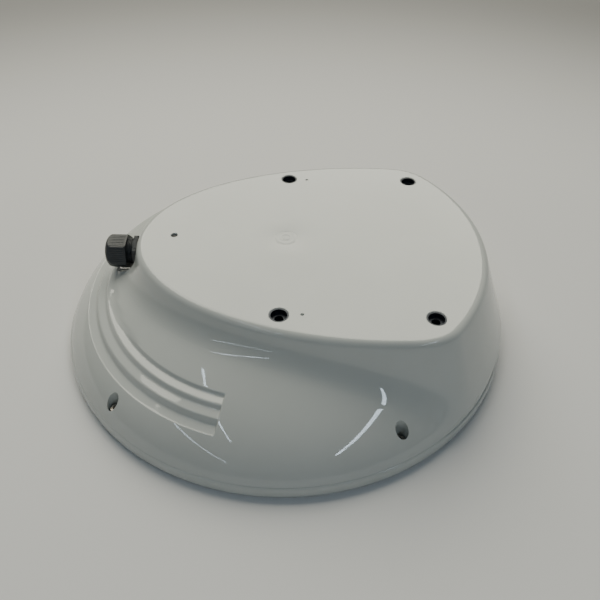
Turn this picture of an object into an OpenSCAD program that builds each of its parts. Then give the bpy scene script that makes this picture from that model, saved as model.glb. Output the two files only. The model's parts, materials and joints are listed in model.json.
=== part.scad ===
// Low-profile marine radar dome antenna, lying on its upper radome with the
// mounting face up. Origin: centre of the rim circle, on the surface it lies on.
// +Z points out of the mounting face, -X points aft, towards the cable gland.

/* [Radome] */
// Diameter over the upper radome's edge
rim_d = 478; // [470:1:490]
// Height from the crown to the mounting face
body_h = 103.5; // [102:0.5:106]
// Thickness of the moulded walls
wall = 4; // [3.5:0.1:4.5]
// Height of the joint between upper radome and lower casing
joint_z = 15; // [14:0.5:16]
// Radius of the shoulder ellipse
shoulder_r = 239.5; // [239:0.5:242]
// Rise of the shoulder ellipse
shoulder_rise = 97; // [95:1:99]

/* [Mounting plinth] */
// Radius of the round forward end, about the rim's centre
plinth_front_r = 206; // [203:1:208]
// Forward offset of the ellipse that forms the sides and the aft end
plinth_offset = 90; // [86:1:94]
// Half length of that ellipse
plinth_half_len = 244; // [240:1:248]
// Half width of that ellipse
plinth_half_w = 149; // [146:1:152]
// Flare of the plinth's wall, as a share of its radius for each mm down
plinth_flare = 0.00196; // [0.0018:0.00002:0.0021]
// Radius of the rounded edge of the mounting face
plinth_edge_r = 9; // [6:1:10]

/* [Mounting holes] */
// Fore and aft spacing of the mounting bolts
bolt_dx = 141.5; // [138:0.5:144]
// Athwartships spacing of the mounting bolts
bolt_dy = 233; // [228:1:236]
// Offset of the aft pair of bolts from the rim's centre
bolt_x0 = -1; // [-3:0.5:2]
// Diameter of the socket that each threaded insert's collar lines
socket_d = 18; // [17:0.5:20]
// Depth of the socket, from the mounting face to the insert's thread
socket_depth = 6; // [4:0.5:8]
// Outside diameter of the threaded inserts below the collar
insert_d = 16; // [14:0.5:16.5]
// Bore of the M10 threaded inserts
insert_bore = 8.5; // [8:0.1:9]

/* [Cover screws] */
// Distance of the forward pair of cover screws from the rim's centre
screw_fwd_r = 220; // [218:0.5:221]
// Angle of the forward pair of cover screws from forward
screw_fwd = 60; // [56:1:64]
// Distance of the aft pair of cover screws from the rim's centre
screw_aft_r = 224.5; // [222:0.5:225]
// Angle of the aft pair of cover screws from forward
screw_aft = 133; // [128:1:136]
// Diameter of the screw wells
well_d = 12.5; // [11:0.5:12.5]

/* [Cable gland] */
// Height of the gland's axis
gland_z = 81; // [80:0.5:81.5]
// Diameter over the rounded corners of the dome nut
gland_nut_d = 37.4; // [36.5:0.1:38]
// Size across the flats of the gland body and of its dome nut
gland_af = 33; // [32:0.5:33]
// Bore of the rubber seal that grips the cable
cable_d = 14; // [13:0.5:16]

/* [Antenna] */
// Length of the antenna array
array_len = 400; // [380:2:402]
// Height of the antenna array
array_h = 33; // [31:0.5:33]
// Teeth of the gear on the antenna shaft
gear_teeth = 64; // [64:64]
// Teeth of the motor's pinion
pinion_teeth = 16; // [16:16]
// Gear module
gear_m = 1.5; // [1.5:1.5]

/* [Hidden] */

$fn = 96;
eps = 0.01;
rim_r = rim_d / 2;

// ---- heights of the inner pieces ----
crown_t = 4;                               // thickness of the upper radome's crown
ceiling_z = body_h - wall;                 // inside of the mounting face
well_floor = 3;                            // casing thickness under a screw head
well_boss_r = 9.4;
rim_land_r = 227;                          // inside radius of the casing's rim
plate_z = 67;                              // underside of the chassis plate
plate_t = 4;
deck_z = plate_z + plate_t;                // top of the chassis plate
board_z = deck_z + 7;                      // underside of the circuit boards
board_t = 1.6;
bearing_r = 17.5;                          // 17 x 35 x 10 ball bearings
bearing_bore_r = 8.53;
bearing_w = 10;
housing_z0 = 57;
housing_z1 = 88;
shaft_r = 8.5;
flange_z0 = 43;                            // flange at the shaft's lower end
flange_z1 = 47;
gear_w = 8;
bracket_t = 3;
array_z0 = flange_z0 - bracket_t - array_h - 0.5;
array_z1 = array_z0 + array_h;

// ---- gears ----
gear_gap = gear_m * (gear_teeth + pinion_teeth) / 2;   // distance between shafts
motor_x = gear_gap;
motor_w = 42.3;
motor_h = 26;
motor_bolt = 15.5;                         // half of the 31 mm bolt square

// ---- gland, along -X from the boss ----
gland_face_x = -154.5;
gland_boss_r = 21;
gland_notch_x = -184;                      // aft end of the notch in front of the boss
gland_thread_r = 12.5;
gland_bore_r = 9.5;
gland_hex_len = 5;
gland_hex_x = gland_face_x - 1.5 - gland_hex_len;
gland_nut_x = gland_hex_x - 7;
gland_nut_len = 23.2;
gland_wall_in_x = -149;
nut_thread_r = 13.9;

// ---- places that repeat ----
mount_xy = [for (x = [0, bolt_dx], s = [-1, 1]) [bolt_x0 + x, s * bolt_dy / 2]];
screw_at = [for (p = [[screw_fwd_r, screw_fwd], [screw_aft_r, screw_aft]], s = [-1, 1])
    [p[0], s * p[1]]];
pillar_xy = [for (p = [[-95, 72], [138, 78]], s = [-1, 1]) [p.x, s * p.y]];
standoff_xy = concat(
    [for (x = [-103, -41], s = [-1, 1]) [x, s * 56]],
    [for (x = [97, 145], s = [-1, 1]) [x, s * 63]]);

// ---- the moulded outline ----
// Radius of the shoulder at height z, for an ellipse of radius a and rise b
function ellipse_r(z, a, b) = a * sqrt(1 - pow(z / b, 2));
// Height of that shoulder at radius r
function ellipse_z(r, a, b) = b * sqrt(1 - pow(r / a, 2));
// Smooth minimum of a and b, rounded over a width k
function soft_min(a, b, k) =
    let (h = max(k - abs(a - b), 0) / k) min(a, b) - h * h * k / 4;
// Radius at angle t of the ellipse that forms the plinth's sides and aft end
function plinth_side_r(t) =
    let (a = pow(cos(t) / plinth_half_len, 2) + pow(sin(t) / plinth_half_w, 2),
         b = -2 * plinth_offset * cos(t) / pow(plinth_half_len, 2),
         c = pow(plinth_offset / plinth_half_len, 2) - 1)
    (-b + sqrt(b * b - 4 * a * c)) / (2 * a);
// Radius of the mounting face's outline at angle t
function plinth_r(t) = soft_min(plinth_front_r, plinth_side_r(t), 16);
// Radius of the plinth's wall at angle t and height z, kept inside radius limit
function plinth_wall_r(t, z, limit) =
    soft_min(plinth_r(t) * (1 + plinth_flare * (body_h - z)), limit, 10);
// How far the rounded edge pulls the wall in, at a depth below the face
function edge_inset(depth) =
    depth >= plinth_edge_r ? 0
    : plinth_edge_r - sqrt(pow(plinth_edge_r, 2) - pow(plinth_edge_r - depth, 2));

outline_n = 72;
lip_z = ellipse_z(rim_land_r, shoulder_r - wall, shoulder_rise - wall);
casing_edge_r = ellipse_r(joint_z, shoulder_r, shoulder_rise);
edge_depths = [for (a = [0, 30, 60, 90]) plinth_edge_r * (1 - cos(a))];

// A closed loft through rings of points, one ring for each height in zs
module loft(zs, ring_r) {
    n = outline_n;
    m = len(zs);
    points = [for (j = [0:m - 1], i = [0:n - 1])
        let (t = 360 * i / n, r = ring_r[j][i]) [r * cos(t), r * sin(t), zs[j]]];
    sides = [for (j = [0:m - 2], i = [0:n - 1])
        let (a = j * n + i, b = j * n + (i + 1) % n)
        each [[a, a + n, b + n], [a, b + n, b]]];
    polyhedron(concat(points), concat(sides,
        [[for (i = [0:n - 1]) i]],
        [[for (i = [n - 1:-1:0]) (m - 1) * n + i]]));
}

module plinth_outer() {
    zs = concat([joint_z, 20, 26, 33, 42, 55],
        [for (i = [3:-1:0]) body_h - edge_depths[i]]);
    loft(zs, [for (z = zs) [for (i = [0:outline_n - 1])
        plinth_wall_r(360 * i / outline_n, z, casing_edge_r)
            - edge_inset(body_h - z)]]);
}

module plinth_inner() {
    zs = [20, 30, 42, 55, ceiling_z - 6, ceiling_z];
    loft(zs, [for (z = zs) [for (i = [0:outline_n - 1])
        plinth_wall_r(360 * i / outline_n, z, rim_land_r + wall) - wall * 1.05
            - (z == ceiling_z ? 3 : 0)]]);
}

// Half section of the shoulder: a solid of revolution up to height top
module shoulder(a, b, z0, top) {
    rotate_extrude() polygon(concat([[0, top], [0, z0]],
        [for (i = [0:16]) let (z = z0 + (top - z0) * i / 16) [ellipse_r(z, a, b), z]]));
}

// ---- stepped grip on the aft shoulder ----
// Each step is [radius, height] at its inner end and at its outer end
grip_from = 104.5;
grip_steps = [[182.5, 60.4], [190.5, 59], [193, 54.7], [201.3, 52.7], [203.8, 46.8], [212.5, 45]];
module grip_ring(drop) {
    section = concat([[180.5 - drop / 2, 80], [180.5 - drop / 2, 64.5 - drop]],
        [for (p = grip_steps) [p.x - drop / 3, p.y - drop]],
        [[214 + drop, 43.5 - drop], [214 + drop, 80]]);
    rotate([0, 0, grip_from])
        rotate_extrude(angle = 360 - 2 * grip_from) polygon(section);
}

// ---- small helpers ----
module x_cylinder(x0, x1, r, z = gland_z) {
    translate([x0, 0, z]) rotate([0, 90, 0]) cylinder(h = x1 - x0, r = r);
}
module tube(z0, z1, r_out, r_in) {
    translate([0, 0, z0]) difference() {
        cylinder(h = z1 - z0, r = r_out);
        translate([0, 0, -1]) cylinder(h = z1 - z0 + 2, r = r_in);
    }
}
module at_points(list) {
    for (p = list) translate([p.x, p.y, 0]) children();
}
module at_screws() {
    for (p = screw_at) rotate([0, 0, p[1]]) translate([p[0], 0, 0]) children();
}
// Cap screw with a hexagon socket, head on +Z, seated at height z
module cap_screw(z, d, len, socket = true) {
    difference() {
        union() {
            translate([0, 0, z]) cylinder(h = d, d = d * 1.7, $fn = 32);
            translate([0, 0, z - len]) cylinder(h = len + eps, d = d, $fn = 32);
        }
        if (socket) translate([0, 0, z + d / 2])
            cylinder(h = d, d = d * 0.9, $fn = 6);
    }
}
// Block with its corners rounded in plan
module rounded_block(x0, x1, y0, y1, z0, h, r) {
    translate([0, 0, z0]) linear_extrude(h) {
        translate([x0 + r, y0]) square([x1 - x0 - 2 * r, y1 - y0]);
        translate([x0, y0 + r]) square([x1 - x0, y1 - y0 - 2 * r]);
        for (x = [x0 + r, x1 - r], y = [y0 + r, y1 - r]) translate([x, y]) circle(r);
    }
}
module block(x0, x1, y0, y1, z0, z1) {
    translate([x0, y0, z0]) cube([x1 - x0, y1 - y0, z1 - z0]);
}

// ---- involute gear outline, one tooth centred on angle 0 ----
function involute(rb, r) = let (a = acos(min(1, rb / r))) tan(a) * 180 / PI - a;
function half_tooth(teeth, r, slack) =
    let (rp = gear_m * teeth / 2, rb = rp * cos(20))
    90 / teeth - slack / rp * 90 / PI + involute(rb, rp) - involute(rb, max(r, rb));
module gear_outline(teeth, slack) {
    rp = gear_m * teeth / 2;
    rb = rp * cos(20);
    tip = rp + gear_m * 0.95;
    root = rp - gear_m * 1.25;
    flank = [for (i = [0:3]) let (f = max(root + 0.3, rb)) f + (tip - f) * i / 3];
    polygon([for (k = [0:teeth - 1]) let (c = 360 * k / teeth) each concat(
        [let (a = c - half_tooth(teeth, flank[0], slack)) root * [cos(a), sin(a)]],
        [for (r = flank) let (a = c - half_tooth(teeth, r, slack)) r * [cos(a), sin(a)]],
        [for (i = [3:-1:0]) let (r = flank[i], a = c + half_tooth(teeth, r, slack))
            r * [cos(a), sin(a)]],
        [let (a = c + half_tooth(teeth, flank[0], slack)) root * [cos(a), sin(a)]])]);
}

// ==== radome ====
cover_boss_r = 9;
groove_r0 = 229.5;
groove_r1 = 233;
groove_depth = 3;
module upper_radome() color("white") difference() {
    union() {
        rotate_extrude() polygon([
            [0, 0], [rim_r - 2, 0], [rim_r - 0.6, 0.6], [rim_r, 2],
            [rim_r, joint_z - 1], [rim_r - 0.3, joint_z - 0.3], [rim_r - 1, joint_z],
            [rim_land_r, joint_z], [rim_land_r, joint_z - 4], [235, joint_z - 7],
            [235, crown_t], [0, crown_t]]);
        at_screws() translate([0, 0, crown_t - 1])
            cylinder(h = joint_z - crown_t + 0.8, r = cover_boss_r);
    }
    tube(joint_z - groove_depth, joint_z + 1, groove_r1, groove_r0);
    at_screws() translate([0, 0, 5]) cylinder(h = joint_z, d = 7);
}

module rim_gasket() color("dimgray")
    tube(joint_z - groove_depth, joint_z, groove_r1, groove_r0);

module cover_inserts() color("goldenrod")
    at_screws() tube(5, joint_z - 0.5, 3.5, 2.55);

module casing_shell() {
    difference() {
        union() {
            shoulder(shoulder_r, shoulder_rise, joint_z, 80);
            plinth_outer();
            x_cylinder(gland_face_x, gland_wall_in_x, gland_boss_r);
        }
        difference() {
            union() {
                translate([0, 0, joint_z - 1])
                    cylinder(h = lip_z - joint_z + 1 + eps, r = rim_land_r);
                shoulder(shoulder_r - wall, shoulder_rise - wall, lip_z, 76);
                plinth_inner();
            }
            grip_ring(3.5);
            x_cylinder(gland_notch_x, gland_face_x + 4, gland_boss_r + 5.5);
            x_cylinder(gland_face_x, gland_wall_in_x, gland_boss_r);
            intersection() {
                shoulder(shoulder_r - 1, shoulder_rise - 1, joint_z - 1, 60);
                at_screws() cylinder(h = 60, r = well_boss_r);
            }
            at_points(mount_xy) translate([0, 0, 76]) cylinder(h = 25, r = 13);
            at_points(pillar_xy) translate([0, 0, deck_z]) cylinder(h = 30, r = 7);
        }
    }
}

module lower_casing() color("white") difference() {
    casing_shell();
    intersection() {
        grip_ring(0);
        difference() {
            cylinder(h = 78, r = rim_r);
            linear_extrude(90) circle(r = 178);
        }
    }
    x_cylinder(gland_notch_x, gland_face_x, gland_boss_r + 1.5);
    x_cylinder(gland_face_x - 1, gland_wall_in_x + 1, gland_thread_r + 0.1);
    at_screws() {
        translate([0, 0, joint_z + well_floor]) cylinder(h = 50, d = well_d);
        translate([0, 0, joint_z - 1]) cylinder(h = 10, d = 5.5);
    }
    at_points(mount_xy) {
        translate([0, 0, body_h - socket_depth]) cylinder(h = 20, d = socket_d);
        translate([0, 0, 77.5]) cylinder(h = 25, d = insert_d);
    }
    at_points(pillar_xy) translate([0, 0, deck_z - 1]) cylinder(h = 18, d = 4);
    translate([-117, 0, ceiling_z - 3]) cylinder(h = 20, d = 7);
    for (s = [-1, 1]) translate([20, s * 115.5, body_h - 2]) cylinder(h = 5, d = 3.5);
}

module mounting_inserts() color("dimgray") {
    seat = body_h - socket_depth;
    at_points(mount_xy) rotate_extrude() polygon([
        [insert_bore / 2, 77.5], [insert_d / 2, 77.5], [insert_d / 2, seat],
        [socket_d / 2, seat], [socket_d / 2, body_h - 0.6], [socket_d / 2 - 1.3, body_h - 0.6],
        [socket_d / 2 - 1.3, seat + 0.6], [insert_bore / 2, seat + 0.6]]);
}

module cover_screws() color("silver") at_screws() cap_screw(joint_z + well_floor + 1, 5, 13);

module cover_screw_seals() color("black")
    at_screws() tube(joint_z + well_floor, joint_z + well_floor + 1, 4.8, 2.6);

module breather_vent() color("dimgray") translate([-117, 0, 0]) difference() {
    union() {
        translate([0, 0, body_h - 3.2]) cylinder(h = 1.2, d = 7);
        translate([0, 0, ceiling_z - 3]) cylinder(h = 3, d = 13);
        translate([0, 0, ceiling_z - 1]) cylinder(h = 2, d = 7);
    }
    translate([0, 0, ceiling_z - 4]) cylinder(h = 4.5, d = 3);
}

// ==== cable gland ====
module x_hexagon(x0, x1, af, turn) {
    translate([x0, 0, gland_z]) rotate([turn, 0, 0]) rotate([0, 90, 0])
        cylinder(h = x1 - x0, d = af / cos(30), $fn = 6);
}

module gland_body() color("slategray") difference() {
    union() {
        x_hexagon(gland_hex_x, gland_face_x - 1.5, gland_af, 53);
        x_cylinder(gland_nut_x - 11, gland_hex_x, nut_thread_r);
        x_cylinder(gland_face_x - 1.5, gland_wall_in_x + 10, gland_thread_r);
    }
    x_cylinder(gland_nut_x - 20, gland_wall_in_x + 20, gland_bore_r);
}

module gland_washer() color("black") difference() {
    x_cylinder(gland_face_x - 1.5, gland_face_x, 16);
    x_cylinder(gland_face_x - 3, gland_face_x + 3, gland_thread_r);
}

module gland_locknut() color("slategray") difference() {
    x_hexagon(gland_wall_in_x, gland_wall_in_x + 6, 32, 30);
    x_cylinder(gland_wall_in_x - 3, gland_wall_in_x + 9, gland_thread_r);
}

module gland_seal() color("black") difference() {
    union() {
        x_cylinder(gland_nut_x - 16, gland_nut_x - 11, 11.5);
        x_cylinder(gland_nut_x - 11, gland_nut_x - 1, gland_bore_r);
    }
    x_cylinder(gland_nut_x - 30, gland_nut_x, cable_d / 2);
}

// Ring of fingers that the dome nut closes around the seal
module gland_claw() color("gray") difference() {
    x_cylinder(gland_nut_x - 17, gland_nut_x - 11, 13.4);
    x_cylinder(gland_nut_x - 30, gland_nut_x, 11.5);
    for (a = [0:30:150]) translate([gland_nut_x - 19, 0, gland_z]) rotate([a, 0, 0])
        block(-1, 5, -20, 20, -0.6, 0.6);
}

// Hexagonal dome nut: its turned outline rounds the corners and the outer end
module gland_dome_nut() color("slategray") {
    r = gland_nut_d / 2;
    l = gland_nut_len;
    bore = nut_thread_r + 0.08;
    mouth = cable_d / 2 + 1.5;
    difference() {
        intersection() {
            translate([gland_nut_x, 0, gland_z]) rotate([0, -90, 0])
                rotate_extrude() polygon(concat([[0, 0], [r - 0.8, 0], [r, 0.8]],
                    [for (a = [0:18:90]) [mouth + 1 + (r - mouth - 1) * cos(a), l - 9 + 9 * sin(a)]],
                    [[0, l]]));
            x_hexagon(gland_nut_x - l - 1, gland_nut_x + 1, gland_af, 41.5);
        }
        translate([gland_nut_x + eps, 0, gland_z]) rotate([0, -90, 0])
            rotate_extrude() polygon([
                [0, 0], [bore, 0], [bore, l - 6], [11.6, l - 3.6], [mouth, l - 3],
                [mouth, l + 1], [0, l + 1]]);
    }
}

// ==== chassis and drive ====
module chassis_plate() color("lightgray") difference() {
    rounded_block(-112, 152, -88, 88, plate_z, plate_t, 14);
    translate([0, 0, plate_z - 1]) cylinder(h = 10, r = 21.6);
    at_housing_bolts() translate([0, 0, plate_z - 1]) cylinder(h = 10, d = 4);
    translate([motor_x, 0, plate_z - 1]) cylinder(h = 10, r = 11.1);
    at_points(pillar_xy) translate([0, 0, plate_z - 1]) cylinder(h = 10, d = 4.5);
    for (sx = [-1, 1], sy = [-1, 1])
        translate([motor_x + sx * motor_bolt, sy * motor_bolt, plate_z - 1])
            cylinder(h = 10, d = 3.4);
}

module chassis_screws() color("silver") at_points(pillar_xy)
    translate([0, 0, plate_z]) rotate([180, 0, 0]) cap_screw(0, 4, 16);

module bearing_housing() color("silver") difference() {
    union() {
        translate([0, 0, housing_z0]) cylinder(h = housing_z1 - housing_z0, r = 21.5);
        translate([0, 0, deck_z]) cylinder(h = 4, r = 34);
    }
    translate([0, 0, housing_z0 - 1]) cylinder(h = 40, r = 14.5);
    translate([0, 0, housing_z0 - 1]) cylinder(h = bearing_w + 1, r = bearing_r);
    translate([0, 0, housing_z1 - bearing_w]) cylinder(h = bearing_w + 1, r = bearing_r);
    at_housing_bolts() translate([0, 0, deck_z - 1]) cylinder(h = 10, d = 4.4);
}
module at_housing_bolts() {
    for (a = [45:90:315]) rotate([0, 0, a]) translate([28, 0, 0]) children();
}

module housing_screws() color("silver") at_housing_bolts() cap_screw(deck_z + 4, 4, 8);

// Ball bearing with its shields pressed in below the two races
module ball_bearing(z) difference() {
    tube(z, z + bearing_w, bearing_r, bearing_bore_r);
    for (z_shield = [z - 1, z + bearing_w - 0.5]) tube(z_shield, z_shield + 1.5, 15, 11.2);
}
module lower_bearing() color("gainsboro") ball_bearing(housing_z0);
module upper_bearing() color("gainsboro") ball_bearing(housing_z1 - bearing_w);

// Fixed half of the coaxial rotary joint, with its probe inside the hollow shaft
jumper_y = 34;
jumper_z = 94;
module rotary_joint() color("goldenrod") {
    difference() {
        translate([0, 0, housing_z1]) cylinder(h = 10, r = 20);
        translate([0, 0, housing_z1 - 1]) cylinder(h = 7, r = 16);
    }
    translate([0, 0, 76]) cylinder(h = 18.5, r = 2);
    translate([0, 19, jumper_z]) rotate([-90, 0, 0]) cylinder(h = 6, r = 2.9);
}

module rf_jumper() color("tan") {
    bend = 8;
    r = 1.8;
    translate([0, 25, jumper_z]) rotate([-90, 0, 0]) cylinder(h = jumper_y - bend - 25, r = r);
    translate([bend, jumper_y - bend, jumper_z]) rotate([0, 0, 90])
        rotate_extrude(angle = 90) translate([bend, 0]) circle(r);
    translate([bend, jumper_y, jumper_z]) rotate([0, 90, 0]) cylinder(h = 89 - bend, r = r);
    translate([89, jumper_y, jumper_z]) rotate([0, 90, 0]) cylinder(h = 8, r = 2.9);
}

module drive_motor() color("dimgray") translate([motor_x, 0, deck_z]) difference() {
    union() {
        intersection() {
            block(-motor_w / 2, motor_w / 2, -motor_w / 2, motor_w / 2, 0, motor_h);
            rotate([0, 0, 45]) block(-27, 27, -27, 27, -1, motor_h + 1);
        }
        translate([0, 0, -2]) cylinder(h = 3, r = 11);
    }
    translate([0, 0, -3]) cylinder(h = 8, r = 2.6);
    for (sx = [-1, 1], sy = [-1, 1])
        translate([sx * motor_bolt, sy * motor_bolt, -1]) cylinder(h = 6, d = 3);
    translate([0, 0, 6]) difference() {
        block(-30, 30, -30, 30, 0, motor_h - 12);
        cylinder(h = motor_h, r = 21.8);
        block(-motor_w / 2 + 0.7, motor_w / 2 - 0.7, -30, 30, -1, motor_h);
    }
}

module motor_screws() color("silver")
    for (sx = [-1, 1], sy = [-1, 1])
        translate([motor_x + sx * motor_bolt, sy * motor_bolt, plate_z])
            rotate([180, 0, 0]) cap_screw(0, 3, 8);

gear_z0 = flange_z1;
module motor_shaft() color("silver")
    translate([motor_x, 0, gear_z0 - 1]) cylinder(h = deck_z + 4 - gear_z0, r = 2.5);

module motor_pinion() color("peru")
    translate([motor_x, 0, gear_z0 - 0.5]) rotate([0, 0, 180 / pinion_teeth]) difference() {
        union() {
            linear_extrude(gear_w + 1) gear_outline(pinion_teeth, 0.12);
            cylinder(h = gear_w + 5, r = 7);
        }
        translate([0, 0, -1]) cylinder(h = gear_w + 8, r = 2.5);
    }

// ==== electronics ====
module power_board() color("darkgreen") difference() {
    block(-108, -36, -62, 62, board_z, board_z + board_t);
    at_points(standoff_xy) translate([0, 0, board_z - 1]) cylinder(h = 5, d = 3.2);
}

module power_parts() color("black") {
    z = board_z + board_t;
    for (y = [-44, -28, 28, 44]) translate([-84, y, z]) cylinder(h = 15, r = 6.3);
    for (y = [-22, 22]) translate([-60, y, z]) tube(0, 8, 10, 5);
    block(-70, -50, -9, 9, z, z + 14);
    block(-46, -40, -50, 50, z, z + 12);
}

module terminal_block() color("forestgreen") difference() {
    z = board_z + board_t;
    block(-107, -95, -21, 21, z, z + 12);
    for (i = [-2.5:2.5]) {
        translate([-108, i * 7 - 2, z + 2]) cube([8, 4, 4]);
        translate([-99, i * 7, z + 8]) cylinder(h = 8, r = 1.8);
    }
}

module transceiver_board() color("darkgreen") difference() {
    block(93, 149, -68, 68, board_z, board_z + board_t);
    at_points(standoff_xy) translate([0, 0, board_z - 1]) cylinder(h = 5, d = 3.2);
}

module shield_can() color("silver") {
    z = board_z + board_t;
    difference() {
        block(97, 145, -58, 58, z, z + 17);
        block(98, 144, -57, 57, z - 1, z + 16);
    }
}

module board_standoffs() color("gold")
    at_points(standoff_xy) tube(deck_z, board_z, 3, 1.5);

module board_screws() color("silver")
    at_points(standoff_xy) translate([0, 0, board_z + board_t]) difference() {
        union() {
            cylinder(h = 2, r = 2.8);
            translate([0, 0, -6]) cylinder(h = 6 + eps, r = 1.5);
        }
        translate([-2, -0.4, 1]) cube([4, 0.8, 2]);
        translate([-0.4, -2, 1]) cube([0.8, 4, 2]);
    }

magnet_x = -39;
module position_sensor() color("darkgreen") {
    block(magnet_x - 5, magnet_x + 11, -7, 7, 60, 61.6);
    block(magnet_x + 5, magnet_x + 10, -6, 6, 61.6, plate_z);
    block(magnet_x - 2, magnet_x + 2, -2, 2, 58.8, 60);
}

module position_magnet() color("silver")
    translate([magnet_x, 0, gear_z0 + gear_w - 3]) cylinder(h = 4, r = 3);

// ==== turning antenna ====
module antenna_shaft() color("silver") difference() {
    union() {
        translate([0, 0, flange_z0]) cylinder(h = flange_z1 - flange_z0, r = 25);
        translate([0, 0, flange_z0]) cylinder(h = 91 - flange_z0, r = shaft_r);
    }
    translate([0, 0, flange_z0 - 1]) cylinder(h = 60, r = 4.5);
    tube(housing_z1 + 0.3, housing_z1 + 1.5, 10, 7.9);
    at_flange_bolts() translate([0, 0, flange_z0 - 1]) cylinder(h = 8, d = 4.5);
}
module at_flange_bolts() {
    for (a = [45:90:315]) rotate([0, 0, a]) translate([19, 0, 0]) children();
}

module shaft_circlip() color("dimgray") difference() {
    tube(housing_z1 + 0.3, housing_z1 + 1.5, 11, 7.9);
    block(0, 15, -2.5, 2.5, housing_z1, housing_z1 + 3);
}

gear_web = 4;
module antenna_gear() color("ivory") difference() {
    union() {
        translate([0, 0, gear_z0]) linear_extrude(gear_w) gear_outline(gear_teeth, 0.12);
        translate([0, 0, gear_z0]) cylinder(h = gear_w + 1.8, r = 11);
    }
    translate([0, 0, gear_z0 - 1]) cylinder(h = 20, r = shaft_r);
    difference() {
        tube(gear_z0 + gear_web, gear_z0 + 20, 42, 11);
        translate([magnet_x, 0, gear_z0]) cylinder(h = gear_w, r = 5);
    }
    translate([magnet_x, 0, gear_z0 + gear_w - 3]) cylinder(h = 20, r = 3);
    at_flange_bolts() translate([0, 0, gear_z0 - 1]) cylinder(h = 20, d = 4.5);
}

module array_bracket() color("lightgray") difference() {
    union() {
        rounded_block(-26, 26, -42, 42, flange_z0 - bracket_t, bracket_t, 6);
        block(-16, -13, -42, 42, array_z0 + 6, flange_z0 - bracket_t);
    }
    translate([0, 0, 30]) cylinder(h = 20, r = 4.5);
    at_flange_bolts() translate([0, 0, 30]) cylinder(h = 20, d = 4);
    at_array_bolts() cylinder(h = 20, d = 4.4, center = true);
}
module at_array_bolts() {
    for (y = [-34, 34]) translate([-16, y, (array_z0 + array_z1) / 2])
        rotate([0, -90, 0]) children();
}

// Screws that hold the gear, the flange and the bracket together, and the array on
module array_screws() color("silver") {
    at_flange_bolts() cap_screw(gear_z0 + gear_web, 4, gear_web + 7);
    at_array_bolts() cap_screw(0, 4, 5);
}

array_x0 = -13;
array_x1 = 9;
end_cap_t = 3;
reflector_y = array_len / 2 - end_cap_t;
module array_reflector() color("silver") difference() {
    block(array_x0, array_x1 - 2, -reflector_y, reflector_y, array_z0, array_z1);
    block(array_x0 + 2, array_x1, -reflector_y - 1, reflector_y + 1, array_z0 + 2, array_z1 - 2);
    translate([0, 0, array_z1 - 5]) cylinder(h = 10, r = 3);
    at_array_bolts() cylinder(h = 20, d = 4, center = true);
}

module array_core() color("mistyrose")
    block(array_x0 + 2.1, -5, -reflector_y + 1, reflector_y - 1, array_z0 + 3, array_z1 - 3);

module array_board() color("darkgreen")
    block(-5, -3.4, -reflector_y + 1, reflector_y - 1, array_z0 + 2.5, array_z1 - 2.5);

module array_window() color("whitesmoke") difference() {
    block(array_x1 - 2, array_x1, -reflector_y, reflector_y, array_z0, array_z1);
    block(array_x1 - 3, array_x1 - 1, -reflector_y - 1, reflector_y + 1,
        array_z0 + 4, array_z1 - 4);
}

module array_end_caps() color("dimgray")
    for (s = [-1, 1]) translate([0, s * (reflector_y + end_cap_t / 2), 0])
        block(array_x0, array_x1, -end_cap_t / 2, end_cap_t / 2, array_z0, array_z1);

module feed_coax() color("tan") {
    translate([0, 0, array_z0 + 16]) cylinder(h = 52, r = 1.6);
    block(-3.4, 2.6, -3, 3, array_z0 + 10, array_z0 + 16);
}

upper_radome();
rim_gasket();
cover_inserts();
lower_casing();
mounting_inserts();
cover_screws();
cover_screw_seals();
breather_vent();
gland_body();
gland_washer();
gland_locknut();
gland_seal();
gland_claw();
gland_dome_nut();
chassis_plate();
chassis_screws();
bearing_housing();
housing_screws();
lower_bearing();
upper_bearing();
rotary_joint();
rf_jumper();
drive_motor();
motor_screws();
motor_shaft();
motor_pinion();
power_board();
power_parts();
terminal_block();
transceiver_board();
shield_can();
board_standoffs();
board_screws();
position_sensor();
position_magnet();
antenna_shaft();
shaft_circlip();
antenna_gear();
array_bracket();
array_screws();
array_reflector();
array_core();
array_board();
array_window();
array_end_caps();
feed_coax();
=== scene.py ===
"""Looks of the radar dome antenna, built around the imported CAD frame."""

import json
import math

import bmesh
import bpy
import numpy as np
from mathutils import Matrix, Vector


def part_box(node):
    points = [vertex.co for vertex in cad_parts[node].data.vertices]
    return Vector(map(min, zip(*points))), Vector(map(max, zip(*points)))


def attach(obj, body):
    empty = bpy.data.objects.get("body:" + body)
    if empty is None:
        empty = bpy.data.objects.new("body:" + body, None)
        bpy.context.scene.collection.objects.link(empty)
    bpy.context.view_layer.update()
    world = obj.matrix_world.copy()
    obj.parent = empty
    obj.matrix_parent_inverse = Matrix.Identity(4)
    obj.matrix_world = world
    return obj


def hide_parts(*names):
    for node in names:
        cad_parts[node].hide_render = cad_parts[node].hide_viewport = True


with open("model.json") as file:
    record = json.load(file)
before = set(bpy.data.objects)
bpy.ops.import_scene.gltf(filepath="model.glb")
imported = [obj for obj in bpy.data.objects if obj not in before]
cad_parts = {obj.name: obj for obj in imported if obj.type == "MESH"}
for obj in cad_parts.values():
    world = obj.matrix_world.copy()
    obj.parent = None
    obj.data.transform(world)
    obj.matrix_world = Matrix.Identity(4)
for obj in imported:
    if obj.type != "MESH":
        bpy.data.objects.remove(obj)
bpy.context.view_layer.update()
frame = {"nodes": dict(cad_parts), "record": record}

MM = 0.001

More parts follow.
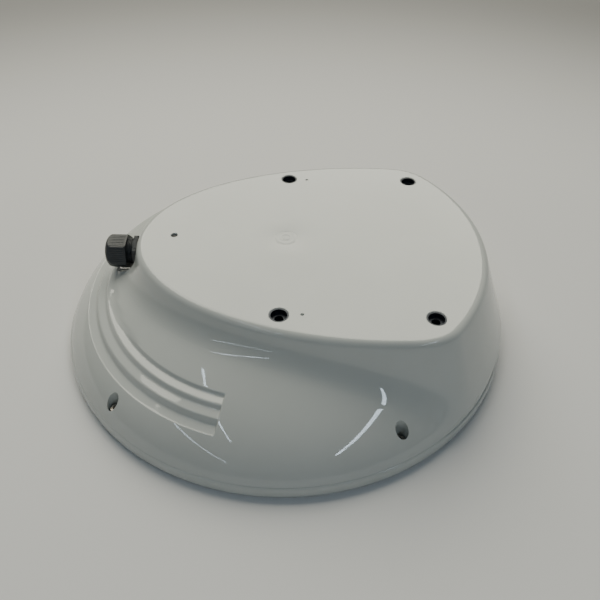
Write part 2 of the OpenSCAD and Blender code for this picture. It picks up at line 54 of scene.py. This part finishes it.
# ---- driving sizes, in millimetres: the same ones that the CAD is built from ----
BODY_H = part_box("lower_casing")[1].z / MM
JOINT_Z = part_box("lower_casing")[0].z / MM
RIM_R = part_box("upper_radome")[1].y / MM
SHOULDER_R = 239.5
SHOULDER_RISE = 97.0
CASING_EDGE_R = SHOULDER_R * math.sqrt(1 - (JOINT_Z / SHOULDER_RISE) ** 2)
FRONT_R = 206.0
SIDE_OFFSET = 90.0
SIDE_HALF_LEN = 244.0
SIDE_HALF_W = 149.0
FLARE = 0.00196
FACE_EDGE_R = 8.5
FOOT_BLEND = 13.0
WALL = 4.0
RIM_LAND_R = 227.0
GRIP_FROM = math.radians(104.5)
GRIP_PROFILE = ((180.5, 64.2), (182.5, 60.3), (190.5, 58.9), (193.0, 54.6),
                (201.3, 52.6), (203.8, 46.6), (212.5, 44.3), (215.0, 44.6))
SCREWS = tuple((r * math.cos(math.radians(a)), s * r * math.sin(math.radians(a)))
               for r, a in ((220.0, 60), (224.5, 133)) for s in (-1, 1))
WELL_R = 6.25
WELL_FLOOR = JOINT_Z + 3
WELL_BOSS_R = 9.4
GLAND_Z = 81.0
GLAND_FACE_X = -154.5
GLAND_NOTCH_X = -184.0
GLAND_WALL_IN_X = -149.0
GLAND_HEX_X = -161.0
GLAND_NUT_X = -168.0
GLAND_NUT_LEN = 23.2
GLAND_AF = 33.0
GLAND_THREAD_R = 12.5
GLAND_BORE_R = 9.5
NUT_THREAD_R = 13.9
NUT_CORNER_R = 18.7
NUT_MOUTH_R = 8.5
GLAND_BOSS_R = 21.0
BOLTS = tuple((x, s * 116.5) for x in (-1.0, 140.5) for s in (-1, 1))
MAX_VOLUME_CHANGE = 0.1
PILLARS = tuple((x, s * y) for x, y in ((-95, 72), (138, 78)) for s in (-1, 1))


# ==== mesh helpers ====
def mesh_object(name, verts, faces, material, body, smooth=True):
    """A mesh object from points in millimetres, riding on a CAD body."""
    mesh = bpy.data.meshes.new(name)
    mesh.from_pydata([tuple(v) for v in np.asarray(verts, float) * MM], [], faces)
    mesh.update()
    obj = bpy.data.objects.new(name, mesh)
    bpy.context.scene.collection.objects.link(obj)
    mesh.materials.append(material)
    mesh.polygons.foreach_set("use_smooth", [smooth] * len(mesh.polygons))
    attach(obj, body)
    return obj


def grid_faces(rows, columns, start=0, flip=False):
    """Quads between successive closed rings of points."""
    faces = []
    for j in range(rows - 1):
        a = start + j * columns
        for i in range(columns):
            k = (i + 1) % columns
            quad = (a + i, a + k, a + columns + k, a + columns + i)
            faces.append(quad[::-1] if flip else quad)
    return faces


def lathe(profile, segments, origin=(0, 0, 0), axis="Z"):
    """Points and faces of a closed solid turned from (radius, height) pairs."""
    verts, faces = [], []
    for i in range(segments):
        t = 2 * math.pi * i / segments
        for r, h in profile:
            p = (r * math.cos(t), r * math.sin(t), h)
            verts.append(p if axis == "Z" else (-p[2], p[1], p[0]))
    n = len(profile)
    for i in range(segments):
        k = (i + 1) % segments
        for j in range(n):
            m = (j + 1) % n
            if profile[j][0] < 1e-6 and profile[m][0] < 1e-6:
                continue
            faces.append((i * n + j, k * n + j, k * n + m, i * n + m))
    verts = np.array(verts) + np.array(origin)
    return verts, faces


def tidy_mesh(obj, sharp_deg=None):
    """Merges doubled points, makes the faces point out, and marks sharp edges."""
    bm = bmesh.new()
    bm.from_mesh(obj.data)
    bmesh.ops.remove_doubles(bm, verts=bm.verts, dist=1e-7)
    bmesh.ops.dissolve_degenerate(bm, dist=1e-7, edges=bm.edges)
    bmesh.ops.recalc_face_normals(bm, faces=bm.faces)
    if sharp_deg:
        for e in bm.edges:
            if len(e.link_faces) == 2:
                e.smooth = e.calc_face_angle(0) < math.radians(sharp_deg)
    bm.to_mesh(obj.data)
    bm.free()


def cutter(parts):
    """One object made of several turned solids, for a Boolean modifier."""
    verts, faces = [], []
    for v, f in parts:
        base = len(verts)
        verts += [tuple(p) for p in v]
        faces += [tuple(base + i for i in face) for face in f]
    mesh = bpy.data.meshes.new("cutter")
    mesh.from_pydata([tuple(v) for v in np.asarray(verts) * MM], [], faces)
    obj = bpy.data.objects.new("cutter", mesh)
    bpy.context.scene.collection.objects.link(obj)
    tidy_mesh(obj)
    return obj


def volume_of(mesh):
    bm = bmesh.new()
    bm.from_mesh(mesh)
    volume = bm.calc_volume(signed=True)
    bm.free()
    return volume


def boolean(obj, tool, operation):
    """Applies one exact Boolean and removes the tool; stops if the mesh collapses."""
    m = obj.modifiers.new("bool", "BOOLEAN")
    m.operation = operation
    m.object = tool
    m.solver = "EXACT"
    depsgraph = bpy.context.evaluated_depsgraph_get()
    mesh = bpy.data.meshes.new_from_object(obj.evaluated_get(depsgraph))
    if abs(volume_of(mesh) / volume_of(obj.data) - 1) > MAX_VOLUME_CHANGE:
        raise RuntimeError("a Boolean collapsed " + obj.name)
    obj.modifiers.clear()
    old = obj.data
    obj.data = mesh
    bpy.data.meshes.remove(old)
    bpy.data.objects.remove(tool)


# ==== the casing's surface as a height over the plan ====
def side_radius(t):
    """Radius at angle t of the ellipse that forms the plinth's sides and aft end."""
    a = (np.cos(t) / SIDE_HALF_LEN) ** 2 + (np.sin(t) / SIDE_HALF_W) ** 2
    b = -2 * SIDE_OFFSET * np.cos(t) / SIDE_HALF_LEN ** 2
    c = (SIDE_OFFSET / SIDE_HALF_LEN) ** 2 - 1
    return (-b + np.sqrt(b * b - 4 * a * c)) / (2 * a)


def soft_min(a, b, k):
    h = np.maximum(k - np.abs(a - b), 0) / k
    return np.minimum(a, b) - h * h * k / 4


def face_radius(t):
    """Outline of the mounting face."""
    return soft_min(FRONT_R, side_radius(t), 16.0)


def shoulder_distance(r, z, grow=0.0):
    """Signed distance, near enough, to the shoulder's ellipse."""
    a, b = SHOULDER_R + grow, SHOULDER_RISE + grow
    g = np.sqrt((r / a) ** 2 + (z / b) ** 2)
    slope = np.sqrt((r / a ** 2) ** 2 + (z / b ** 2) ** 2) / g
    return (g - 1) / slope


def hull_distance(r, z, r0, grow, limit):
    """Signed distance to the plinth's wall and the shoulder, blended where they meet."""
    wall_r = soft_min(r0 * (1 + FLARE * (BODY_H - z)), limit, 10.0) + grow * 1.05
    cos_draft = 1 / np.sqrt(1 + (FLARE * r0) ** 2)
    a = (r - wall_r) * cos_draft
    b = shoulder_distance(r, z, grow)
    blend = FOOT_BLEND
    u = np.maximum(blend - a, 0)
    v = np.maximum(blend - b, 0)
    return np.maximum(blend, np.minimum(a, b)) - np.sqrt(u * u + v * v)


def body_height(r, t, grow=0.0, top=None, edge_r=FACE_EDGE_R, limit=CASING_EDGE_R + 0.9):
    """Height of the casing's surface over the point at radius r and angle t."""
    top = BODY_H if top is None else top
    r0 = face_radius(t)
    low = np.full_like(r, JOINT_Z - 6.0)
    high = np.full_like(r, BODY_H + 40.0)
    for _ in range(30):
        mid = (low + high) / 2
        inside = hull_distance(r, mid, r0, grow, limit) < 0
        low = np.where(inside, mid, low)
        high = np.where(inside, high, mid)
    z = (low + high) / 2
    # the rounded edge of the mounting face, tangent to the face and to the wall
    draft = FLARE * r0
    turn = math.pi / 2 - np.arctan(draft)
    edge_top = r0 + grow * 1.05 + draft * (BODY_H - top)
    start = edge_top - edge_r * np.tan(turn / 2)
    stop = start + edge_r * np.sin(turn)
    over = np.clip(r - start, 0, edge_r)
    arc = top - edge_r + np.sqrt(edge_r ** 2 - over ** 2)
    return np.where(r < start, top, np.where(r < stop, arc, np.minimum(z, top)))


def grip_height(r):
    """The stepped grip's profile, with its corners rounded."""
    fine = np.arange(170.0, 240.0, 0.05)
    rs, zs = np.array(GRIP_PROFILE).T
    raw = np.interp(fine, rs, zs)
    raw = np.where(fine < rs[0], zs[0] + (rs[0] - fine) * 1.6, raw)
    raw = np.where(fine > rs[-1], zs[-1] + (fine - rs[-1]) * 1.0, raw)
    width = 0.55
    kernel = np.exp(-0.5 * (np.arange(-3, 3, 0.05) / width) ** 2)
    pad = len(kernel) // 2
    smooth = np.convolve(np.pad(raw, pad, mode="edge"), kernel / kernel.sum(), "same")
    return np.interp(r, fine, smooth[pad:pad + len(fine)])


def grip_share(r, t):
    """1 inside the grip's sector, 0 outside, with a steep end wall."""
    arc = r * (np.abs(t) - GRIP_FROM)
    s = np.clip(arc / 1.6 + 0.5, 0, 1)
    return s * s * (3 - 2 * s)


def outer_height(r, t):
    z = body_height(r, t)
    stepped = np.minimum(z, grip_height(r))
    z = z + (stepped - z) * grip_share(r, t) * (r > 178)
    return z


def columns():
    """Angles of the mesh's columns: closer together where a feature ends."""
    coarse = math.radians(0.6)
    fine = math.radians(0.12)
    spots = [(s * GRIP_FROM, math.radians(0.8)) for s in (-1, 1)]
    angles = list(np.arange(-math.pi, math.pi - 1e-9, coarse))
    for centre, half in spots:
        angles = [a for a in angles if abs(a - centre) > half]
        angles += list(np.arange(centre - half, centre + half + 1e-9, fine))
    return np.array(sorted(angles))


def zone(start, stop, count):
    return [start + (stop - start) * k / count for k in range(count)]


def outer_rings(t):
    """Radii of the outer surface's rings at angle t, following the face's edge."""
    r0 = face_radius(t)
    marks = [0.0 * t, 13.0 + 0 * t, r0 - 12, r0 + 3, np.minimum(r0 + 19, 228)]
    grip_in = np.maximum(179.0, marks[-1] + (CASING_EDGE_R - marks[-1]) * 0.30)
    grip_out = np.maximum(216.0, marks[-1] + (CASING_EDGE_R - marks[-1]) * 0.75)
    marks += [grip_in, grip_out, CASING_EDGE_R - 0.02 + 0 * t]
    counts = [16, 6, 16, 16, 6, 74, 14]
    rings = []
    for a, b, n in zip(marks[:-1], marks[1:], counts):
        rings += zone(a, b, n)
    return rings[1:] + [marks[-1]]


def gate_mark(r):
    """Shallow rings left by the mould's gate, at the middle of the face."""
    ring = np.exp(-((r - 11.6) / 0.6) ** 2) * 0.4
    ring = ring + np.exp(-((r - 7.0) / 0.5) ** 2) * 0.25
    dish = np.where(r < 4.2, 0.35, 0.0)
    return -(ring + dish)


def inner_height(r, t):
    """The cavity's ceiling, with the bosses that reach down from it."""
    z = body_height(r, t, grow=-WALL, top=BODY_H - WALL, edge_r=5.0, limit=RIM_LAND_R + WALL)
    z = np.minimum(z, outer_height(r + 1.5, t) - 3.2)
    x, y = r * np.cos(t), r * np.sin(t)
    for bx, by in BOLTS:
        z = np.where(np.hypot(x - bx, y - by) < 13, np.minimum(z, 76), z)
    for bx, by in PILLARS:
        z = np.where(np.hypot(x - bx, y - by) < 7, np.minimum(z, 71), z)
    for sx, sy in SCREWS:
        z = np.where(np.hypot(x - sx, y - sy) < WELL_BOSS_R, JOINT_Z, z)
    gland = (np.abs(y) < GLAND_BOSS_R + 5) & (x < GLAND_WALL_IN_X) & (x > GLAND_NOTCH_X)
    trough = GLAND_Z - np.sqrt(np.maximum((GLAND_BOSS_R + 5.5) ** 2 - y ** 2, 0))
    z = np.where(gland, np.minimum(z, trough), z)
    return np.maximum(z, JOINT_Z)


def casing(material):
    """The lower casing: a closed shell over a polar grid, then its holes."""
    t = columns()
    n = len(t)
    rings = outer_rings(t)
    verts = []
    for r in rings:
        z = outer_height(r, t) + gate_mark(r)
        verts.append(np.column_stack([r * np.cos(t), r * np.sin(t), z]))
    verts[-1][:, 2] = JOINT_Z
    inner = list(np.arange(RIM_LAND_R, 3.0, -2.5))
    verts.append(np.column_stack([RIM_LAND_R * np.cos(t), RIM_LAND_R * np.sin(t),
                                  np.full(n, JOINT_Z)]))
    for r in inner:
        z = inner_height(np.full(n, r), t)
        verts.append(np.column_stack([r * np.cos(t), r * np.sin(t), z]))
    rows = len(verts)
    points = np.vstack(verts + [np.array([[0, 0, BODY_H - 0.25]]),
                                np.array([[0, 0, BODY_H - WALL]])])
    top, ceiling = rows * n, rows * n + 1
    faces = grid_faces(rows, n, flip=True)
    faces += [(top, i, (i + 1) % n) for i in range(n)]
    last = (rows - 1) * n
    faces += [(ceiling, last + (i + 1) % n, last + i) for i in range(n)]
    obj = mesh_object("casing", points, faces, material, "casing")
    tidy_mesh(obj)

    trough = lathe([(0, -GLAND_FACE_X), (GLAND_BOSS_R + 1.5, -GLAND_FACE_X),
                    (GLAND_BOSS_R + 1.5, -GLAND_NOTCH_X), (0, -GLAND_NOTCH_X)],
                   96, (0, 0, GLAND_Z), axis="X")
    hole = lathe([(0, 140), (12.6, 140), (12.6, 165), (0, 165)], 72, (0, 0, GLAND_Z), axis="X")
    above = BODY_H + 3
    holes = [trough]
    for x, y in BOLTS:
        holes.append(lathe([(0, 77.5), (8, 77.5), (8, BODY_H - 6), (9, BODY_H - 6),
                            (9, BODY_H - 0.7), (9.2, BODY_H - 0.25), (9.8, BODY_H + 0.02),
                            (9.8, above), (0, above)], 72, (x, y, 0)))
    for x, y in SCREWS:
        holes.append(lathe([(0, WELL_FLOOR), (WELL_R, WELL_FLOOR), (WELL_R, 70), (0, 70)],
                           48, (x, y, 0)))
    holes.append(lathe([(0, BODY_H - 9), (3.5, BODY_H - 9), (3.5, BODY_H - 0.4),
                        (3.9, BODY_H + 0.02), (3.9, above), (0, above)], 36, (-117, 0, 0)))
    for s in (-1, 1):
        holes.append(lathe([(0, BODY_H - 2), (1.75, BODY_H - 2), (1.75, above), (0, above)],
                           24, (20, s * 115.5, 0)))
    boolean(obj, cutter(holes), "DIFFERENCE")
    boolean(obj, cutter([hole]), "DIFFERENCE")
    tidy_mesh(obj, sharp_deg=38)
    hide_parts("lower_casing")
    return obj


def upper_radome(material):
    """Shallow upper radome: turned cover with a rolled edge, groove and screw bosses."""
    groove_z = JOINT_Z - 3
    profile = [(0, 0), (120, 0), (229, 0)]
    for k in range(0, 91, 10):
        a = math.radians(k)
        profile.append((RIM_R - 6 + 6 * math.sin(a), 5.2 - 5.2 * math.cos(a)))
    profile += [(RIM_R, 9.6), (RIM_R - 0.25, 11.6), (RIM_R - 0.8, 13.2), (RIM_R - 1.5, 14.3),
                (RIM_R - 2.3, 14.8), (RIM_R - 3.2, JOINT_Z), (233, JOINT_Z),
                (233, groove_z), (229.5, groove_z), (229.5, JOINT_Z),
                (RIM_LAND_R, JOINT_Z), (RIM_LAND_R, JOINT_Z - 4), (235, JOINT_Z - 7),
                (235, 4), (0, 4)]
    verts, faces = lathe(profile, 360)
    obj = mesh_object("rolled_radome", verts, faces, material, "radome")
    tidy_mesh(obj)
    bosses = [lathe([(0, 3), (9, 3), (9, JOINT_Z - 0.2), (0, JOINT_Z - 0.2)], 48, (x, y, 0))
              for x, y in SCREWS]
    boolean(obj, cutter(bosses), "UNION")
    groove = lathe([(229.5, groove_z), (233, groove_z), (233, JOINT_Z + 1),
                    (229.5, JOINT_Z + 1)], 360)
    boolean(obj, cutter([groove]), "DIFFERENCE")
    holes = [lathe([(0, 5), (3.5, 5), (3.5, JOINT_Z + 2), (0, JOINT_Z + 2)], 36, (x, y, 0))
             for x, y in SCREWS]
    boolean(obj, cutter(holes), "DIFFERENCE")
    tidy_mesh(obj, sharp_deg=30)
    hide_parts("upper_radome")
    return obj


# ==== cable gland, turned about an axis along X ====
def hex_radius(t, turn, corner):
    """Radius of a hexagon at angle t, with its corners rounded off at a radius."""
    a = np.mod(t - math.radians(turn), math.pi / 3) - math.pi / 6
    return soft_min(GLAND_AF / 2 / np.cos(a), corner, 0.9)


def around_x(name, stations, bore, material, node_name, segments=180):
    """Closed ring: outer (x, radius function) stations out, then the bore back."""
    t = np.linspace(-math.pi, math.pi, segments, endpoint=False)
    rows = []
    for x, radius in stations:
        rad = radius(t)
        rows.append(np.column_stack([np.full(segments, x), rad * np.cos(t),
                                     GLAND_Z + rad * np.sin(t)]))
    for x, rad in bore:
        rows.append(np.column_stack([np.full(segments, x), rad * np.cos(t),
                                     GLAND_Z + rad * np.sin(t)]))
    count = len(rows)
    faces = grid_faces(count, segments)
    last = (count - 1) * segments
    for i in range(segments):
        k = (i + 1) % segments
        faces.append((last + i, last + k, k, i))
    obj = mesh_object(name, np.vstack(rows), faces, material,
                      "gland_nut" if node_name == "gland_dome_nut" else "casing")
    tidy_mesh(obj, sharp_deg=32)
    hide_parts(node_name)
    return obj


def dome_nut(material):
    """Hexagonal dome nut with fine grip ribs on its flats and a domed outer end."""
    def at(limit, rib=0.0):
        def radius(t):
            base = np.minimum(hex_radius(t, 11.5, NUT_CORNER_R), limit)
            return base - rib * (0.5 + 0.5 * np.cos(48 * t))
        return radius
    x0, length = GLAND_NUT_X, GLAND_NUT_LEN
    stations = [(x0, at(NUT_CORNER_R - 0.9)), (x0 - 0.5, at(NUT_CORNER_R - 0.3)),
                (x0 - 1.2, at(NUT_CORNER_R)), (x0 - 1.8, at(NUT_CORNER_R)),
                (x0 - 2.3, at(NUT_CORNER_R, 0.25))]
    for k in range(1, 9):
        stations.append((x0 - 2.3 - 1.3 * k, at(NUT_CORNER_R, 0.25)))
    for k in range(0, 91, 6):
        a = math.radians(k)
        limit = NUT_MOUTH_R + 1 + (NUT_CORNER_R - NUT_MOUTH_R - 1) * math.cos(a)
        rib = 0.25 * max(0.0, 1 - k / 40)
        stations.append((x0 - length + 9 - 9 * math.sin(a), at(limit, rib)))
    bore = [(x0 - length, NUT_MOUTH_R + 0.5), (x0 - length + 0.5, NUT_MOUTH_R),
            (x0 - length + 3, NUT_MOUTH_R), (x0 - length + 3.6, 11.6),
            (x0 - length + 6, NUT_THREAD_R + 0.08), (x0, NUT_THREAD_R + 0.08)]
    return around_x("dome_nut", stations, bore, material, "gland_dome_nut", segments=384)


def gland_body(material):
    """Gland body: threaded neck for the nut, hexagon, and threaded tail."""
    def thread(x, crest, depth, pitch):
        def radius(t):
            turn = np.mod(x / pitch + t / (2 * math.pi), 1.0)
            return crest - depth * np.clip(1 - 2.4 * np.abs(turn - 0.5), 0, 1)
        return radius

    def plain(value):
        return lambda t: np.full_like(t, value)

    def hexagon(t):
        return hex_radius(t, 23, 19.6)

    def chamfered(limit):
        return lambda t: np.minimum(hexagon(t), limit)

    right = GLAND_FACE_X - 1.5
    stations = [(GLAND_NUT_X - 11, plain(GLAND_BORE_R + 1.2))]
    x = GLAND_NUT_X - 10.8
    while x < GLAND_HEX_X - 1.0:
        stations.append((x, thread(x, NUT_THREAD_R, 0.95, 1.6)))
        x += 0.16
    stations += [(GLAND_HEX_X - 0.9, plain(NUT_THREAD_R - 0.9)),
                 (GLAND_HEX_X, plain(NUT_THREAD_R - 0.9)),
                 (GLAND_HEX_X, chamfered(16.6)), (GLAND_HEX_X + 0.8, hexagon),
                 (right - 0.6, hexagon), (right, chamfered(17.4)),
                 (right, plain(GLAND_THREAD_R))]
    stations += [(GLAND_WALL_IN_X + 9.5, plain(GLAND_THREAD_R)),
                 (GLAND_WALL_IN_X + 10, plain(GLAND_THREAD_R - 0.5))]
    bore = [(GLAND_WALL_IN_X + 10, GLAND_BORE_R), (GLAND_NUT_X - 11, GLAND_BORE_R)]
    return around_x("gland_body_threaded", stations, bore, material, "gland_body",
                    segments=240)


# ==== materials ====
def new_material(name):
    m = bpy.data.materials.new(name)
    m.use_nodes = True
    tree = m.node_tree
    return m, tree, tree.nodes["Principled BSDF"]


def node(tree, kind, **values):
    n = tree.nodes.new(kind)
    for key, value in values.items():
        if key in n.inputs:
            n.inputs[key].default_value = value
        else:
            setattr(n, key, value)
    return n


def speckled(name, dark, light, rough, scale=60.0, bump=0.02, grain=900.0, metallic=0.0,
             coat=0.0, stretch=(1, 1, 1)):
    """A moulded, cast or plated surface: cloudy colour, uneven gloss and fine grain."""
    m, tree, shader = new_material(name)
    place = node(tree, "ShaderNodeTexCoord")
    scaled = node(tree, "ShaderNodeMapping")
    scaled.inputs["Scale"].default_value = stretch
    tree.links.new(place.outputs["Object"], scaled.inputs["Vector"])
    cloud = node(tree, "ShaderNodeTexNoise", Scale=scale, Detail=5.0, Roughness=0.6)
    tree.links.new(scaled.outputs["Vector"], cloud.inputs["Vector"])
    ramp = node(tree, "ShaderNodeValToRGB")
    ramp.color_ramp.elements[0].position = 0.3
    ramp.color_ramp.elements[0].color = (*dark, 1)
    ramp.color_ramp.elements[1].position = 0.7
    ramp.color_ramp.elements[1].color = (*light, 1)
    tree.links.new(cloud.outputs["Fac"], ramp.inputs["Fac"])
    tree.links.new(ramp.outputs["Color"], shader.inputs["Base Color"])
    gloss = node(tree, "ShaderNodeMapRange")
    gloss.inputs["To Min"].default_value = rough[0]
    gloss.inputs["To Max"].default_value = rough[1]
    tree.links.new(cloud.outputs["Fac"], gloss.inputs["Value"])
    tree.links.new(gloss.outputs["Result"], shader.inputs["Roughness"])
    fine = node(tree, "ShaderNodeTexNoise", Scale=grain, Detail=3.0)
    tree.links.new(scaled.outputs["Vector"], fine.inputs["Vector"])
    dent = node(tree, "ShaderNodeBump", Strength=bump, Distance=0.001)
    tree.links.new(fine.outputs["Fac"], dent.inputs["Height"])
    tree.links.new(dent.outputs["Normal"], shader.inputs["Normal"])
    shader.inputs["Metallic"].default_value = metallic
    shader.inputs["Coat Weight"].default_value = coat
    return m


SLOT_LOOKS = {
    "casing_plastic": speckled("casing_plastic", (0.555, 0.578, 0.560), (0.590, 0.613, 0.595),
                               (0.02, 0.035), scale=9, bump=0.003, grain=300),
    # radome_plastic is the casing's plastic made a little darker: painted shade on the
    # radome's rim band, low beside the table
    "radome_plastic": speckled("radome_plastic", (0.545, 0.568, 0.550), (0.580, 0.603, 0.585),
                               (0.02, 0.035), scale=9, bump=0.003, grain=300),
    "gland_plastic": speckled("gland_plastic", (0.030, 0.034, 0.038), (0.048, 0.053, 0.058),
                              (0.36, 0.5), scale=120, bump=0.15, grain=1500),
    "seal_rubber": speckled("seal_rubber", (0.012, 0.012, 0.012), (0.022, 0.022, 0.022),
                            (0.6, 0.75), scale=200, bump=0.2, grain=2500),
    "vent_plastic": speckled("vent_plastic", (0.05, 0.05, 0.05), (0.08, 0.08, 0.08),
                             (0.5, 0.65), scale=200, bump=0.1, grain=2000),
    # insert_black: near-black lining of the mounting sockets, painted shade that keeps the
    # sockets dark inside
    "insert_black": speckled("insert_black", (0.018, 0.022, 0.030), (0.035, 0.042, 0.055),
                             (0.3, 0.45), scale=300, bump=0.1, grain=3000, metallic=0.5),
    "brass": speckled("brass", (0.60, 0.42, 0.18), (0.75, 0.55, 0.27), (0.25, 0.4),
                      scale=300, metallic=1.0, bump=0.08, grain=3000, stretch=(1, 1, 6)),
    "stainless": speckled("stainless", (0.42, 0.38, 0.33), (0.56, 0.52, 0.47), (0.3, 0.45),
                          scale=250, metallic=1.0, bump=0.08, grain=3000),
    "bearing_steel": speckled("bearing_steel", (0.55, 0.55, 0.56), (0.68, 0.68, 0.69),
                              (0.15, 0.28), scale=250, metallic=1.0, grain=4000,
                              stretch=(1, 1, 8)),
    "cast_alloy": speckled("cast_alloy", (0.42, 0.43, 0.44), (0.56, 0.57, 0.58), (0.45, 0.62),
                           scale=150, metallic=1.0, bump=0.5, grain=1800),
    "sheet_alloy": speckled("sheet_alloy", (0.62, 0.63, 0.64), (0.74, 0.75, 0.76),
                            (0.28, 0.4), scale=60, metallic=1.0, bump=0.05, grain=2500,
                            stretch=(1, 12, 1)),
    "tinned_steel": speckled("tinned_steel", (0.62, 0.62, 0.60), (0.76, 0.76, 0.74),
                             (0.25, 0.42), scale=90, metallic=1.0, bump=0.06, grain=900),
    "motor_black": speckled("motor_black", (0.018, 0.018, 0.02), (0.035, 0.035, 0.038),
                            (0.35, 0.5), scale=200, bump=0.1, grain=2000),
    "magnet": speckled("magnet", (0.60, 0.60, 0.62), (0.70, 0.70, 0.72), (0.12, 0.2),
                       scale=300, metallic=1.0),
    "gear_acetal": speckled("gear_acetal", (0.70, 0.67, 0.60), (0.78, 0.75, 0.69), (0.35, 0.5),
                            scale=80, bump=0.05, grain=1500),
    "board_green": speckled("board_green", (0.010, 0.10, 0.035), (0.018, 0.15, 0.055),
                            (0.25, 0.4), scale=500, bump=0.1, grain=1200, coat=0.3),
    "parts_black": speckled("parts_black", (0.015, 0.015, 0.017), (0.03, 0.03, 0.033),
                            (0.3, 0.45), scale=300, bump=0.1, grain=2500),
    "terminal_green": speckled("terminal_green", (0.05, 0.28, 0.09), (0.07, 0.36, 0.13),
                               (0.35, 0.5), scale=200, bump=0.08, grain=1500),
    "coax_copper": speckled("coax_copper", (0.55, 0.33, 0.20), (0.68, 0.45, 0.30),
                            (0.22, 0.35), scale=300, metallic=1.0, grain=3000),
    "foam_pink": speckled("foam_pink", (0.70, 0.54, 0.52), (0.80, 0.66, 0.64), (0.8, 0.95),
                          scale=500, bump=0.8, grain=900),
    "window_plastic": speckled("window_plastic", (0.70, 0.70, 0.68), (0.78, 0.78, 0.76),
                               (0.4, 0.5), scale=60, bump=0.05, grain=1200),
}

slot_of = {p["node"]: p["material_slot"] for p in frame["record"]["subparts"]}
for name, obj in frame["nodes"].items():
    look = SLOT_LOOKS[slot_of[name]]
    for i in range(len(obj.data.materials)):
        obj.data.materials[i] = look
    if not obj.data.materials:
        obj.data.materials.append(look)

casing(SLOT_LOOKS["casing_plastic"])
upper_radome(SLOT_LOOKS["radome_plastic"])
dome_nut(SLOT_LOOKS["gland_plastic"])
gland_body(SLOT_LOOKS["gland_plastic"])


# ==== floor, lights and camera ====
def area_light(name, position, target, size, power, color=(1, 1, 1)):
    data = bpy.data.lights.new(name, "AREA")
    data.shape = "RECTANGLE"
    data.size, data.size_y = size
    data.energy = power
    data.color = color
    obj = bpy.data.objects.new(name, data)
    bpy.context.scene.collection.objects.link(obj)
    obj.location = position
    aim = Vector(target) - Vector(position)
    obj.rotation_mode = "QUATERNION"
    obj.rotation_quaternion = aim.to_track_quat("-Z", "Y")
    return obj


def studio_bowl():
    """Pale table that curves up into a low wall far away on every side; its colour is painted
    darker away from the spot under the camera, as painted shade for the light's falloff.
    """
    reach, bend, top = 6000.0, 1500.0, 4200.0
    profile = [(0.0, 0.0), (900.0, 0.0), (2200.0, 0.0)]
    for k in range(0, 91, 10):
        a = math.radians(k)
        profile.append((reach - bend + bend * math.sin(a), bend - bend * math.cos(a)))
    profile += [(reach, top), (reach + 60.0, top), (reach + 60.0, -60.0), (0.0, -60.0)]
    verts, faces = lathe(profile, 128)
    mesh = bpy.data.meshes.new("studio_bowl")
    mesh.from_pydata([tuple(v) for v in verts * MM], [], faces)
    obj = bpy.data.objects.new("studio_bowl", mesh)
    bpy.context.scene.collection.objects.link(obj)
    tidy_mesh(obj, sharp_deg=40)
    mesh.polygons.foreach_set("use_smooth", [True] * len(mesh.polygons))
    m, tree, shader = new_material("studio_floor_painted_falloff")
    place = node(tree, "ShaderNodeTexCoord")
    # painted shade: the floor's colour goes from 0.72 near the spot under the camera to 0.22
    # between 0.85 m and 1.9 m away, standing in for the light falling off
    away = node(tree, "ShaderNodeVectorMath", operation="DISTANCE")
    away.inputs[1].default_value = (0.0, -0.5, 0.0)
    tree.links.new(place.outputs["Object"], away.inputs[0])
    painted_falloff_ramp = node(tree, "ShaderNodeMapRange")
    painted_falloff_ramp.interpolation_type = "SMOOTHSTEP"
    painted_falloff_ramp.inputs["From Min"].default_value = 0.85
    painted_falloff_ramp.inputs["From Max"].default_value = 1.9
    tree.links.new(away.outputs["Value"], painted_falloff_ramp.inputs["Value"])
    painted_falloff_mix = node(tree, "ShaderNodeMix", data_type="RGBA")
    painted_falloff_mix.inputs["A"].default_value = (0.72, 0.72, 0.72, 1)
    painted_falloff_mix.inputs["B"].default_value = (0.22, 0.22, 0.22, 1)
    tree.links.new(painted_falloff_ramp.outputs["Result"], painted_falloff_mix.inputs["Factor"])
    tree.links.new(painted_falloff_mix.outputs["Result"], shader.inputs["Base Color"])
    shader.inputs["Roughness"].default_value = 0.7
    mesh.materials.append(m)


COOL = (0.72, 0.87, 1.0)
studio_bowl()
area_light("window_behind", (-0.6, 3.3, 3.9), (0, 0, 0), (5.6, 4.6), 342, (1.0, 0.965, 0.82))
area_light("tube_right", (1.54, -2.15, 2.05), (1.54, -2.15, 0), (0.12, 2.5), 16, COOL)
area_light("tube_left", (-2.40, -3.7, 2.05), (-2.40, -3.7, 0), (0.09, 4.0), 11, COOL)
area_light("tube_middle", (-1.04, -1.1, 2.05), (-1.04, -1.1, 0), (0.04, 2.1), 4, COOL)

world = bpy.data.worlds.new("studio")
bpy.context.scene.world = world
world.use_nodes = True
background = world.node_tree.nodes["Background"]
background.inputs["Color"].default_value = (0.55, 0.78, 1.0, 1)
background.inputs["Strength"].default_value = 0.03


def photo_camera():
    """The camera at the photograph's viewing angle."""
    turn, tilt, roll = math.radians(1.172), math.radians(42.63), math.radians(0.50)
    ahead = Vector((-math.sin(turn) * math.cos(tilt), math.cos(turn) * math.cos(tilt),
                    -math.sin(tilt)))
    right = Vector((math.cos(turn), math.sin(turn), 0))
    up = right.cross(ahead)
    side = right * math.cos(roll) + up * math.sin(roll)
    top = up * math.cos(roll) - right * math.sin(roll)
    data = bpy.data.cameras.new("photo_camera")
    data.lens = 34.77
    data.sensor_width = 36.0
    obj = bpy.data.objects.new("photo_camera", data)
    bpy.context.scene.collection.objects.link(obj)
    basis = Matrix((side, top, -ahead)).transposed().to_4x4()
    obj.matrix_world = Matrix.Translation((0.02554, -0.48977, 0.46577)) @ basis
    bpy.context.scene.camera = obj


photo_camera()

bpy.context.view_layer.update()
